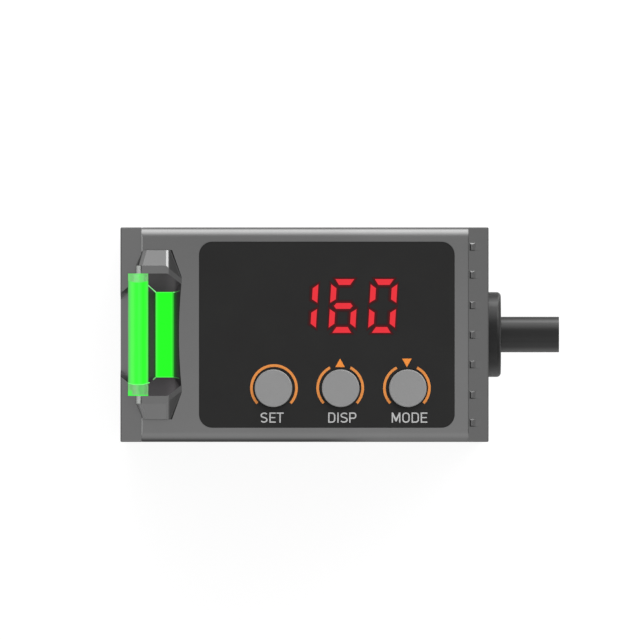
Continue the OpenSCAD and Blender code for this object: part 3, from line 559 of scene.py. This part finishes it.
# ---------------------------------------------------------------- mesh helpers (millimetres in, metres out)
def mesh_object(name, verts, faces, material, body="housing", smooth=False):
    me = bpy.data.meshes.new(name)
    me.from_pydata([tuple(c * MM for c in v) for v in verts], [], faces)
    bm = bmesh.new()
    bm.from_mesh(me)
    bmesh.ops.recalc_face_normals(bm, faces=bm.faces)
    bm.to_mesh(me)
    bm.free()
    me.materials.append(material)
    if smooth:
        for p in me.polygons:
            p.use_smooth = True
    ob = bpy.data.objects.new(name, me)
    scene.collection.objects.link(ob)
    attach(ob, body)
    return ob


def offset(loop, d, closed=True, sharp=0.35):
    """Moves each point of a path sideways by d, with mitred corners. Positive is to the left."""
    n = len(loop)
    out = []
    for i, p in enumerate(loop):
        a = loop[i - 1] if closed or i > 0 else None
        b = loop[(i + 1) % n] if closed or i < n - 1 else None
        ns = []
        for q, r in ((a, p), (p, b)):
            if q is None or r is None:
                continue
            v = Vector((r[0] - q[0], r[1] - q[1]))
            if v.length > 1e-9:
                v.normalize()
                ns.append(Vector((-v.y, v.x)))
        m = sum(ns, Vector((0, 0)))
        if m.length < 1e-6:
            m = ns[0].copy()
        m.normalize()
        k = d / max(sharp, m.dot(ns[0]))
        out.append((p[0] + m.x * k, p[1] + m.y * k))
    return out


def flat_shape(name, shapes, z0, z1, material, body="housing", rim=0.0):
    """Printed or inlaid shapes. A shape is ("fill", loop) or ("ring", outer loop, inner loop), in mm."""
    verts, faces = [], []

    def add(loop, z):
        s = len(verts)
        verts.extend((p[0], p[1], z) for p in loop)
        return list(range(s, s + len(loop)))

    for kind, *loops in shapes:
        if kind == "fill":
            lp = loops[0]
            n = len(lp)
            bot, top = add(lp, z0), add(lp, z1 - rim)
            levels = [bot, top]
            if rim:
                levels.append(add(offset(lp, rim if area2(lp) > 0 else -rim), z1))
            faces.append(levels[-1])
            faces.append(levels[0][::-1])
            for a, b in zip(levels, levels[1:]):
                for i in range(n):
                    j = (i + 1) % n
                    faces.append([a[i], a[j], b[j], b[i]])
        else:
            outer, inner = loops
            n = len(outer)
            ob, ot, ib, it = add(outer, z0), add(outer, z1), add(inner, z0), add(inner, z1)
            for i in range(n):
                j = (i + 1) % n
                faces.append([ot[i], ot[j], it[j], it[i]])
                faces.append([ob[j], ob[i], ib[i], ib[j]])
                faces.append([ob[i], ob[j], ot[j], ot[i]])
                faces.append([ib[j], ib[i], it[i], it[j]])
    return mesh_object(name, verts, faces, material, body)


def area2(loop):
    return sum(a[0] * b[1] - b[0] * a[1] for a, b in zip(loop, loop[1:] + loop[:1]))


def smooth_path(points, n=6):
    """Catmull-Rom through the points."""
    out = []
    p = [points[0], *points, points[-1]]
    for i in range(1, len(p) - 2):
        for k in range(n):
            t = k / n
            a, b, c, d = p[i - 1], p[i], p[i + 1], p[i + 2]
            out.append(tuple(0.5 * (2 * b[j] + (c[j] - a[j]) * t + (2 * a[j] - 5 * b[j] + 4 * c[j] - d[j]) * t * t
                                    + (3 * b[j] - a[j] - 3 * c[j] + d[j]) * t ** 3) for j in (0, 1)))
    out.append(points[-1])
    return out


def stroke(path, w):
    """An open path as one closed outline of width w."""
    left, right = offset(path, w / 2, False), offset(path, -w / 2, False)
    return ("fill", left + right[::-1])


def arc(cx, cy, r, a0, a1, n):
    return [(cx + r * math.cos(math.radians(a0 + (a1 - a0) * i / n)), cy + r * math.sin(math.radians(a0 + (a1 - a0) * i / n)))
            for i in range(n + 1)]


def band(cx, cy, r0, r1, a0, a1, n=64):
    return ("fill", arc(cx, cy, r1, a0, a1, n) + arc(cx, cy, r0, a1, a0, n))


def tube(name, points, r, material, body="housing", sides=10, taper=None):
    """A rod along a path in space, with flat caps at its ends, in mm."""
    verts, faces = [], []
    pts = [Vector(p) for p in points]
    n = len(pts)
    up = Vector((0.13, 0.2, 1)).normalized()
    for i, p in enumerate(pts):
        t = (pts[min(i + 1, n - 1)] - pts[max(i - 1, 0)]).normalized()
        u = t.cross(up).normalized()
        v = t.cross(u)
        rr = r * (taper(i / (n - 1)) if taper else 1)
        for k in range(sides):
            a = 2 * math.pi * k / sides
            verts.append(tuple(p + u * rr * math.cos(a) + v * rr * math.sin(a)))
    for i in range(n - 1):
        for k in range(sides):
            a, b = i * sides + k, i * sides + (k + 1) % sides
            faces.append([a, b, b + sides, a + sides])
    faces.append(list(range(sides))[::-1])
    faces.append([(n - 1) * sides + k for k in range(sides)])
    return mesh_object(name, verts, faces, material, body, smooth=True)


# ---------------------------------------------------------------- print on the control overlay
INK0, INK1 = 50.0, 50.02
ARCS = {"set": (-3.556, -6.21), "disp": (4.16, -6.19), "mode": (11.93, -6.2)}
for key, (kx, ky) in ARCS.items():
    if key == "set":
        arcs = [band(kx, ky, 2.465, 2.775, -42.6, 222.6, 128)]
    else:
        arcs = [band(kx, ky, 2.465, 2.775, -42.6, 63.3), band(kx, ky, 2.465, 2.775, 116.7, 222.6)]
    flat_shape(f"key_arc_{key}", arcs, INK0, INK1, orange_arc)

tx, ty0 = xy(340.1, 367.1)
_, ty1 = xy(340.1, 358.6)
flat_shape("arrow_up", [("fill", [(tx - 0.56, ty0), (tx + 0.56, ty0), (tx, ty1)])], INK0, INK1, orange_ink)
tx, _ = xy(406.9, 0)
flat_shape("arrow_down", [("fill", [(tx - 0.56, ty1), (tx, ty0), (tx + 0.56, ty1)])], INK0, INK1, orange_ink)

CAP = 1.19  # cap height
INKW = 0.15  # stroke width
_, BASE = xy(0, 422.7)


def rounded_box_path(x0, x1, y0, y1, r, corners="tlrb", n=6):
    """Centre line of a box with round corners: t is top right, r bottom right, b bottom left, l top left."""
    out = []
    for flag, cx, cy, a in (("t", x1 - r, y1 - r, 90), ("r", x1 - r, y0 + r, 0), ("b", x0 + r, y0 + r, -90), ("l", x0 + r, y1 - r, -180)):
        if flag in corners:
            out += arc(cx, cy, r, a, a - 90, n)
        else:
            out.append(({"t": x1, "r": x1, "b": x0, "l": x0}[flag], {"t": y1, "r": y0, "b": y0, "l": y1}[flag]))
    return out


def closed_stroke(path, w):
    return ("ring", offset(path, w / 2), offset(path, -w / 2))


def glyph(ch, x0, x1):
    """One capital as strokes between x0 and x1, both at the outer edges of the ink."""
    h, t = CAP, INKW
    a, b, lo, hi = x0 + t / 2, x1 - t / 2, BASE + t / 2, BASE + h - t / 2
    mid = BASE + h * 0.5
    if ch == "S":
        pts = [(0.90, 0.845), (0.76, 0.925), (0.55, 0.955), (0.33, 0.93), (0.15, 0.85), (0.085, 0.74), (0.14, 0.625), (0.31, 0.552),
               (0.52, 0.505), (0.72, 0.455), (0.88, 0.365), (0.915, 0.25), (0.82, 0.125), (0.64, 0.06), (0.45, 0.045), (0.26, 0.07), (0.075, 0.155)]
        w = x1 - x0
        return [stroke(smooth_path([(x0 + t * 0.1 + px * (w - t * 0.2), BASE + t * 0.18 + py * (h - t * 0.36)) for px, py in pts], 5), t)]
    if ch == "E":
        return [stroke([(x1, hi), (a, hi), (a, lo), (x1, lo)], t),
                ("fill", [(x0 + t, mid - t * 0.42), (x1 - 0.05, mid - t * 0.42), (x1 - 0.05, mid + t * 0.42), (x0 + t, mid + t * 0.42)])]
    if ch == "T":
        c = (x0 + x1) / 2
        return [("fill", [(x0, BASE + h - t), (x1, BASE + h - t), (x1, BASE + h), (x0, BASE + h)]),
                ("fill", [(c - t / 2, BASE), (c + t / 2, BASE), (c + t / 2, BASE + h - t), (c - t / 2, BASE + h - t)])]
    if ch == "I":
        c = (x0 + x1) / 2
        return [("fill", [(c - t / 2, BASE), (c + t / 2, BASE), (c + t / 2, BASE + h), (c - t / 2, BASE + h)])]
    if ch == "D":
        return [closed_stroke(rounded_box_path(a, b, lo, hi, 0.30, "tr"), t)]
    if ch == "O":
        return [closed_stroke(rounded_box_path(a, b, lo, hi, 0.315), t)]
    if ch == "P":
        return [closed_stroke(rounded_box_path(a, b, BASE + h * 0.44, hi, 0.255, "tr"), t),
                ("fill", [(x0, BASE), (x0 + t, BASE), (x0 + t, BASE + h * 0.44 - t / 2), (x0, BASE + h * 0.44 - t / 2)])]
    if ch == "M":
        c = (x0 + x1) / 2
        return [("fill", [(x0, BASE), (x0 + t, BASE), (x0 + t, BASE + h * 0.69), (c - 0.07, BASE + h * 0.13), (c + 0.07, BASE + h * 0.13),
                          (x1 - t, BASE + h * 0.69), (x1 - t, BASE), (x1, BASE), (x1, BASE + h), (x1 - t * 1.08, BASE + h), (c, BASE + h * 0.40),
                          (x0 + t * 1.08, BASE + h), (x0, BASE + h)])]
    return []


WORDS = {
    "set": [("S", 260.5, 267.6), ("E", 269.4, 275.7), ("T", 276.6, 283.6)],
    "disp": [("D", 328.2, 335.3), ("I", 337.0, 339.0), ("S", 340.4, 347.8), ("P", 349.2, 356.4)],
    "mode": [("M", 391.7, 400.4), ("O", 402.3, 409.7), ("D", 411.6, 418.9), ("E", 420.7, 427.3)],
}
for word, letters in WORDS.items():
    shapes = []
    for ch, p0, p1 in letters:
        shapes += glyph(ch, xy(p0, 0)[0], xy(p1, 0)[0])
    flat_shape(f"key_name_{word}", shapes, INK0, INK1, label_ink)

# ---------------------------------------------------------------- the reading, shining through the overlay
DIGX, DIGY, PITCH = 2.2, 3.35, 4.6
SW, SH, ST, LEAN = 1.235, 2.79, 0.34, 0.058


def lean(pts):
    return [(x + LEAN * y, y) for x, y in pts]


seg_a = lean([(-1.10, SH + ST), (-0.66, SH - ST), (0.66, SH - ST), (1.10, SH + ST)])
SEGS = {
    "a": seg_a,
    "d": [(-x, -y) for x, y in seg_a],
    "g": lean([(-1.10, 0), (-0.81, -ST), (0.81, -ST), (1.10, 0), (0.81, ST), (-0.81, ST)]),
    "b": lean([(SW + 0.32, 2.53), (SW - 0.32, 2.06), (SW - 0.32, 0.775), (SW + 0.32, 0.37)]),
    "c": lean([(SW + 0.32, -0.37), (SW - 0.32, -0.775), (SW - 0.32, -2.06), (SW + 0.32, -2.53)]),
    "f": lean([(-SW - 0.32, 2.53), (-SW - 0.32, 0.37), (-SW + 0.32, 0.775), (-SW + 0.32, 2.06)]),
    "e": lean([(-SW - 0.32, -0.37), (-SW - 0.32, -2.53), (-SW + 0.32, -2.06), (-SW + 0.32, -0.775)]),
}
NUMBER = {1: "bc", 6: "acdefg", 0: "abcdef"}
for i, number in ((1, 1), (2, 6), (3, 0)):
    ox = DIGX + 2.32 + (i - 2) * PITCH
    bars, halos, hazes = [], [], []
    for s in NUMBER[number]:
        lp = [(ox + px, DIGY + py) for px, py in SEGS[s]]
        if area2(lp) < 0:
            lp = lp[::-1]
        bars.append(("fill", lp))
        halos.append(("fill", offset(lp, -0.20, sharp=0.75)))
        hazes.append(("fill", offset(lp, -0.38, sharp=0.8)))
    flat_shape(f"reading_{i}_bars", bars, 50.003, 50.018, digit_red)
    for k, h in enumerate(halos):
        flat_shape(f"reading_{i}_halo_{k}", [h], 50.0, 50.007 + 0.0004 * k, digit_halo)
        flat_shape(f"reading_{i}_haze_{k}", [hazes[k]], 50.0, 50.003 + 0.0004 * k, digit_haze)

# ---------------------------------------------------------------- indicator details
# painted green highlights where the lit part of the bar ends


def bar_outline(n=8, grow=0.0):
    """The bar's cross-section in X and Z, from one side over the top to the other."""
    r = 0.6
    x0, x1, z1 = -20.56 - grow, -18.2 + grow, 50.9 + grow
    pts = [(x0, 49.4)]
    pts += [(x0 + r + (r) * -math.cos(a), z1 - r + r * math.sin(a)) for a in [math.pi / 2 * k / n for k in range(n + 1)]]
    pts += [(x1 - r + r * math.sin(a), z1 - r + r * math.cos(a)) for a in [math.pi / 2 * k / n for k in range(n + 1)]]
    pts += [(x1, 49.4)]
    return pts


glint_path = []
for px, pz in bar_outline(grow=-0.03):
    u = (px + 19.38) / 1.18
    glint_path.append((px, -5.60 - 0.25 * max(0.0, 1 - u * u), pz))
tube("bar_bead_lower", glint_path, 0.06, painted_green_glint, sides=8)
tube("bar_bead_tip", [(-18.34, -5.66, 50.1), (-18.22, -5.63, 50.12), (-18.10, -5.60, 50.1), (-18.02, -5.58, 50.08)], 0.085, painted_green_glint,
     sides=8, taper=lambda f: 1.0 - 0.6 * f)

# light that leaks along the pocket's corner edges
tube("leak_upper", [(-17.36 - 0.99 * t, 4.98 + 0.896 * t, 48.63 + t) for t in [0.95 * k / 8 for k in range(9)]], 0.075, leak_green,
     taper=lambda f: 1.15 - 0.9 * f * (1 - f) * 2)
tube("leak_lower", [(-17.36 - 0.99 * t, -4.98 - 0.896 * t, 48.63 + t) for t in [0.30 * k / 6 for k in range(7)]], 0.075, leak_dim,
     taper=lambda f: 0.7 + 1.2 * f * (1 - f))
tube("leak_tail_upper", [(-15.04 + 0.62 * t, 4.96 + 0.2 * t, 48.95 + t) for t in [0.75 * k / 6 for k in range(7)]], 0.045, leak_faint,
     taper=lambda f: 1 - 0.5 * f)
tube("leak_tail_lower", [(-15.25 + 0.62 * t, -4.97 - 0.1 * t, 48.62 + t) for t in [1.05 * k / 6 for k in range(7)]], 0.045, leak_faint,
     taper=lambda f: 1 - 0.5 * f)
tube("leak_right", [(-15.25 + 0.62 * t, 4.95, 48.62 + t) for t in [0.34 * k / 4 for k in range(5)]], 0.055, leak_green, taper=lambda f: 1 - 0.6 * f)

# the two lenses as they show through the dark window: a transmitter above, a larger receiver below


def seen_lens(name, z0, r_mm):
    m = Mat(name)
    x, y, z = m.xyz()
    dz = m.math("SUBTRACT", z, z0 * MM)
    d = m.math("SQRT", m.math("ADD", m.math("MULTIPLY", y, y), m.math("MULTIPLY", dz, dz)))
    # painted glint: a bright centre and a pale ring near the rim, on a dark lens
    m.set(color=m.ramp(m.math("DIVIDE", d, r_mm * MM), [(0.0, (0.16, 0.020, 0.026)), (0.22, (0.10, 0.014, 0.018)), (0.5, (0.030, 0.006, 0.008)),
                                                        (0.86, (0.018, 0.004, 0.005)), (0.93, (0.060, 0.010, 0.013)), (1.0, (0.020, 0.005, 0.006))]),
          rough=m.remap(m.noise(2.0, 3), 0.3, 0.7, 0.05, 0.09), spec=0.5)
    return m.m


def round_plate(name, z0, r0, r1, x0, x1, material, n=96):
    """A thin disc, or a ring when r0 isn't 0, that faces -X."""
    circle = [(math.cos(2 * math.pi * k / n), math.sin(2 * math.pi * k / n)) for k in range(n)]
    verts = [(x, r * c, z0 + r * s) for r in ((r1, r0) if r0 else (r1,)) for x in (x0, x1) for c, s in circle]
    faces = []
    for k in range(n):
        j = (k + 1) % n
        faces.append([k, j, n + j, n + k])
        if r0:
            faces += [[2 * n + j, 2 * n + k, 3 * n + k, 3 * n + j], [j, k, 2 * n + k, 2 * n + j], [n + k, n + j, 3 * n + j, 3 * n + k]]
    if not r0:
        faces += [list(range(n))[::-1], list(range(n, 2 * n))]
    return mesh_object(name, verts, faces, material)


barrel = moulded("barrel_seen", (0.034, 0.008, 0.010), rough=0.12, grain=0.5, vary=0.2)
for name, z0, r_lens, r_in, r_out in (("receiver", 14.6, 6.5, 8.0, 8.5), ("transmitter", 34.4, 3.3, 4.75, 5.2)):
    round_plate(f"{name}_seen", z0, 0, r_lens, -21.315, -21.299, seen_lens(f"{name}_seen_glass", z0, r_lens))
    round_plate(f"{name}_barrel", z0, r_in, r_out, -21.312, -21.299, barrel)

# a pale strip in the chamfer round the housing's front end, a painted highlight along the seam
seam = [(9.7, 50.0), (11.3, 50.0)] + arc(11.3, 48.8, 1.2, 90, 0, 8) + arc(11.3, 1.2, 1.2, 0, -90, 8)
seam += [(-p[0], p[1]) for p in seam[::-1]]
seam = [p for i, p in enumerate(seam) if i == 0 or math.dist(p, seam[i - 1]) > 1e-6]
verts = [(x, y, z) for x, d in ((-18.998, -0.01), (-18.86, -0.01), (-18.998, -0.15)) for y, z in offset(seam, d, False)]
n = len(seam)
faces = [[a * n + i, a * n + i + 1, b * n + i + 1, b * n + i] for a, b in ((0, 1), (1, 2), (2, 0)) for i in range(n - 1)]
faces += [[0, n, 2 * n], [3 * n - 1, 2 * n - 1, n - 1]]
mesh_object("front_seam", verts, faces, painted_seam_highlight)

# the lit parts don't tint what is round them
for name in ("light_bar", "light_window"):
    frame["nodes"][name].visible_diffuse = False
    frame["nodes"][name].visible_glossy = False
for ob in list(scene.objects):
    if ob.name.startswith(("bar_bead", "leak_", "reading_")):
        ob.visible_diffuse = False
        ob.visible_glossy = False

# ---------------------------------------------------------------- stage and light
me = bpy.data.meshes.new("floor")
me.from_pydata([(-6, -6, -0.0002), (6, -6, -0.0002), (6, 6, -0.0002), (-6, 6, -0.0002)], [], [(0, 1, 2, 3)])
floor = bpy.data.objects.new("floor", me)
scene.collection.objects.link(floor)
fm = bpy.data.materials.new("pale_floor")
fm.use_nodes = True
nt = fm.node_tree
nt.nodes.clear()
out = nt.nodes.new("ShaderNodeOutputMaterial")
pale = nt.nodes.new("ShaderNodeBsdfDiffuse")
pale.inputs[0].default_value = (0.2, 0.2, 0.2, 1)
shine = nt.nodes.new("ShaderNodeEmission")
shine.inputs[0].default_value = (1, 1, 1, 1)
shine.inputs[1].default_value = 0.86
both = nt.nodes.new("ShaderNodeAddShader")
clear = nt.nodes.new("ShaderNodeBsdfTransparent")
path = nt.nodes.new("ShaderNodeLightPath")
sel = nt.nodes.new("ShaderNodeMixShader")
nt.links.new(pale.outputs[0], both.inputs[0])
nt.links.new(shine.outputs[0], both.inputs[1])
nt.links.new(path.outputs["Is Camera Ray"], sel.inputs[0])
nt.links.new(clear.outputs[0], sel.inputs[1])
nt.links.new(both.outputs[0], sel.inputs[2])
nt.links.new(sel.outputs[0], out.inputs[0])
me.materials.append(fm)

# the studio: an even dim room with a few large, soft, bright areas (azimuth 90 is +Y)
AMBIENT = 0.3
LOBES = [
    # the main soft light, from +Y and a little from the right
    (90, 5, 2.9), (90, 30, 2.0), (60, 30, 4.4), (60, 5, 1.5), (120, 5, 0.6), (120, 30, 0.35), (90, -20, 0.45),
    # fill from above and from the other side
    (0, 90, 0.4), (30, 60, 1.1), (30, 30, 0.6), (150, 60, 0.26), (210, 60, 0.5), (270, 60, 0.95), (270, 30, 0.76), (240, 30, 0.25),
    (270, 5, 0.35), (300, 30, 0.18),
    # low light that only the upright faces catch
    (180, -20, 1.0), (180, 5, 0.3), (0, -20, 0.7), (270, -20, 0.5), (300, -20, 0.35), (240, -20, 0.35),
]
SOFT = 16.0  # a lobe falls to a half at 17 degrees from its middle

world = bpy.data.worlds.new("studio")
scene.world = world
world.use_nodes = True
nt = world.node_tree
nt.nodes.clear()
out = nt.nodes.new("ShaderNodeOutputWorld")
where = nt.nodes.new("ShaderNodeTexCoord").outputs["Generated"]


def wmath(op, a, b):
    n = nt.nodes.new("ShaderNodeMath")
    n.operation = op
    for v, socket in ((a, n.inputs[0]), (b, n.inputs[1])):
        if hasattr(v, "is_output"):
            nt.links.new(v, socket)
        else:
            socket.default_value = v
    return n.outputs[0]


def lobe(azimuth, elevation, radiance):
    a, e = math.radians(azimuth), math.radians(elevation)
    dot = nt.nodes.new("ShaderNodeVectorMath")
    dot.operation = "DOT_PRODUCT"
    nt.links.new(where, dot.inputs[0])
    dot.inputs[1].default_value = (math.cos(a) * math.cos(e), math.sin(a) * math.cos(e), math.sin(e))
    return wmath("MULTIPLY", wmath("EXPONENT", wmath("MULTIPLY", wmath("SUBTRACT", dot.outputs["Value"], 1.0), SOFT), 0.0), radiance)


light = wmath("ADD", AMBIENT, 0.0)
for azimuth, elevation, radiance in LOBES:
    light = wmath("ADD", light, lobe(azimuth, elevation, radiance))
amb = nt.nodes.new("ShaderNodeBackground")
amb.inputs[0].default_value = (1, 1, 1, 1)
nt.links.new(light, amb.inputs[1])
seen = nt.nodes.new("ShaderNodeBackground")
seen.inputs[0].default_value = (1, 1, 1, 1)
seen.inputs[1].default_value = 1.0
path = nt.nodes.new("ShaderNodeLightPath")
sel = nt.nodes.new("ShaderNodeMixShader")
nt.links.new(path.outputs["Is Camera Ray"], sel.inputs[0])
nt.links.new(amb.outputs[0], sel.inputs[1])
nt.links.new(seen.outputs[0], sel.inputs[2])
nt.links.new(sel.outputs[0], out.inputs[0])
